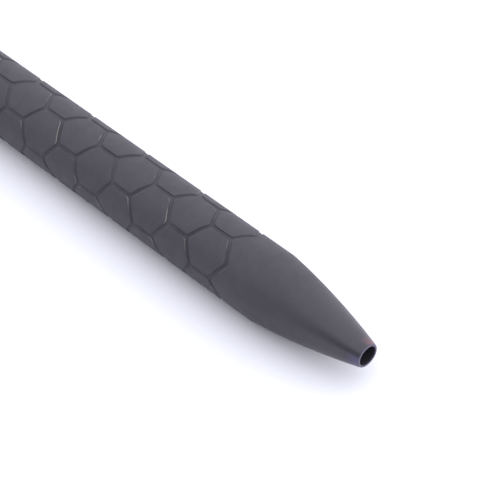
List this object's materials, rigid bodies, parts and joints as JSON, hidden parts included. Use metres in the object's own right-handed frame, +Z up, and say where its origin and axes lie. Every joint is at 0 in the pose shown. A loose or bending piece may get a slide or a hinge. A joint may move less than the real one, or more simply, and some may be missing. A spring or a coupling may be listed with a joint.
{
  "type": "retractable ballpoint pen",
  "caption": "Slim bolt-action ballpoint pen: one-piece round metal barrel with milled hexagons, long tapered nose, side bolt, steel pocket clip and screw-in tail cap.",
  "frame": {"origin": "on the surface that the pen lies on, below the centre of its bounding box", "axes": "+X points along the pen from its tail to its nose, +Z is up, and the clip is on the -Y side"},
  "size_m": [0.1354, 0.0132, 0.0132],
  "materials": {
    "barrel_metal": "matte",
    "clip_steel": "matte",
    "screw_steel": "satin",
    "bolt_metal": "satin",
    "stem_steel": "satin",
    "plunger_brass": "satin",
    "seal_rubber": "matte",
    "spring_steel": "polished",
    "refill_steel": "satin",
    "tip_nickel_silver": "polished",
    "ball_carbide": "polished",
    "plug_plastic": "matte",
    "ink_paste": "gloss",
    "follower_grease": "gloss"
  },
  "bodies": {
    "barrel": {"barrel": "barrel_metal", "pocket_clip": "clip_steel", "clip_screw_front": "screw_steel", "clip_screw_rear": "screw_steel", "return_spring": "spring_steel"},
    "refill": {"refill_tube": "refill_steel", "refill_neck": "refill_steel", "refill_tip": "tip_nickel_silver", "refill_ink": "ink_paste", "refill_follower": "follower_grease", "refill_end_plug": "plug_plastic"},
    "ball": {"refill_ball": "ball_carbide"},
    "bolt": {"bolt_plunger": "plunger_brass", "plunger_o_ring_front": "seal_rubber", "plunger_o_ring_rear": "seal_rubber", "bolt_stem": "stem_steel", "bolt_knob": "bolt_metal"},
    "cap_seal": {"tail_cap_o_ring": "seal_rubber"},
    "cap": {"tail_cap": "barrel_metal"}
  },
  "joints": [
    {"name": "refill_slide", "type": "slide", "parent": "barrel", "child": "refill", "axis": [1, 0, 0], "range_m": [0, 0.006], "stiffness_N_per_m": 150, "springref_m": -0.006, "deforming": ["return_spring"]},
    {"name": "bolt_turn", "type": "hinge", "parent": "refill", "child": "bolt", "pos_m": [-0.03975, 0.00182, 0.00475], "axis": [-1, 0, 0], "range_deg": [0, 32]},
    {"name": "ball_roll", "type": "hinge", "parent": "refill", "child": "ball", "pos_m": [0.06495, 0.00182, 0.00475], "axis": [0, 1, 0], "continuous": true},
    {"name": "tail_cap_travel", "type": "slide", "parent": "barrel", "child": "cap_seal", "axis": [-1, 0, 0], "range_m": [0, 0.006]},
    {"name": "tail_cap_turn", "type": "hinge", "parent": "cap_seal", "child": "cap", "pos_m": [-0.06225, 0.00182, 0.00475], "axis": [-1, 0, 0], "range_deg": [0, 2881]}
  ],
  "couplings": [
    {"joint": "tail_cap_turn", "follows": "tail_cap_travel", "rad_per_m": 8377.6}
  ]
}
